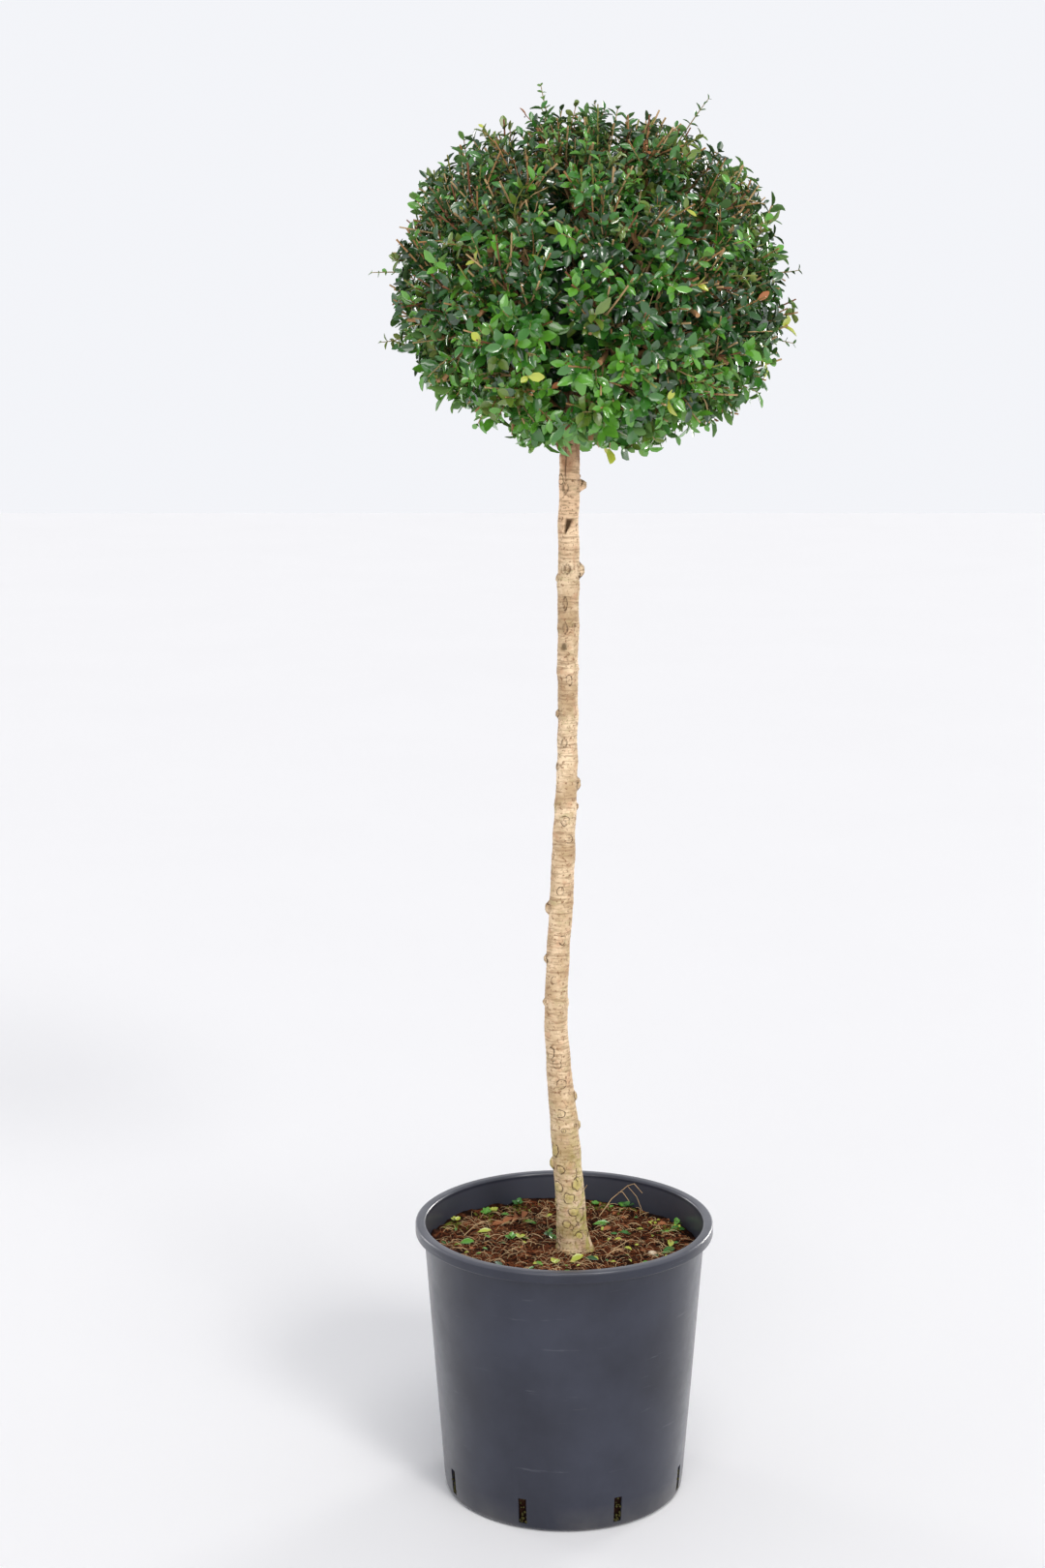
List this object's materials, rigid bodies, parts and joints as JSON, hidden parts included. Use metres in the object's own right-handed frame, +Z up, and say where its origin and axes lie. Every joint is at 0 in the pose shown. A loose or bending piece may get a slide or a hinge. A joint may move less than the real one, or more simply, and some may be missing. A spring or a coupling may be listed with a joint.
{
  "type": "standard lollipop topiary in a nursery pot",
  "caption": "Small-leaved evergreen standard: a ball of clipped foliage on one bare stem, standing in a round plastic nursery pot of coir compost.",
  "frame": {"origin": "centre of the pot's flat foot, on the ground", "axes": "+Z up along the stem, -Y towards the front, +X to the right seen from the front"},
  "size_m": [0.4272, 0.4274, 1.4633],
  "materials": {
    "pot_plastic": "satin slate-grey moulded plastic, faintly scuffed",
    "compost": "damp red-brown coir fibre, matt",
    "bark": "pale tan bark with healed knots, matt",
    "twig": "orange-brown young bark",
    "foliage": "glossy dark green evergreen leaves"
  },
  "bodies": {
    "root": {"pot": "pot_plastic", "soil": "compost", "trunk": "bark", "bough_1": "twig", "bough_2": "twig", "bough_3": "twig", "bough_4": "twig", "bough_5": "twig", "bough_6": "twig", "crown": "foliage", "shoot_top": "foliage", "shoot_top_right": "foliage", "shoot_left": "foliage", "shoot_lower_left": "foliage", "shoot_right": "foliage", "shoot_lower_right": "foliage", "shoot_front": "foliage", "shoot_back": "foliage"}
  },
  "joints": []
}
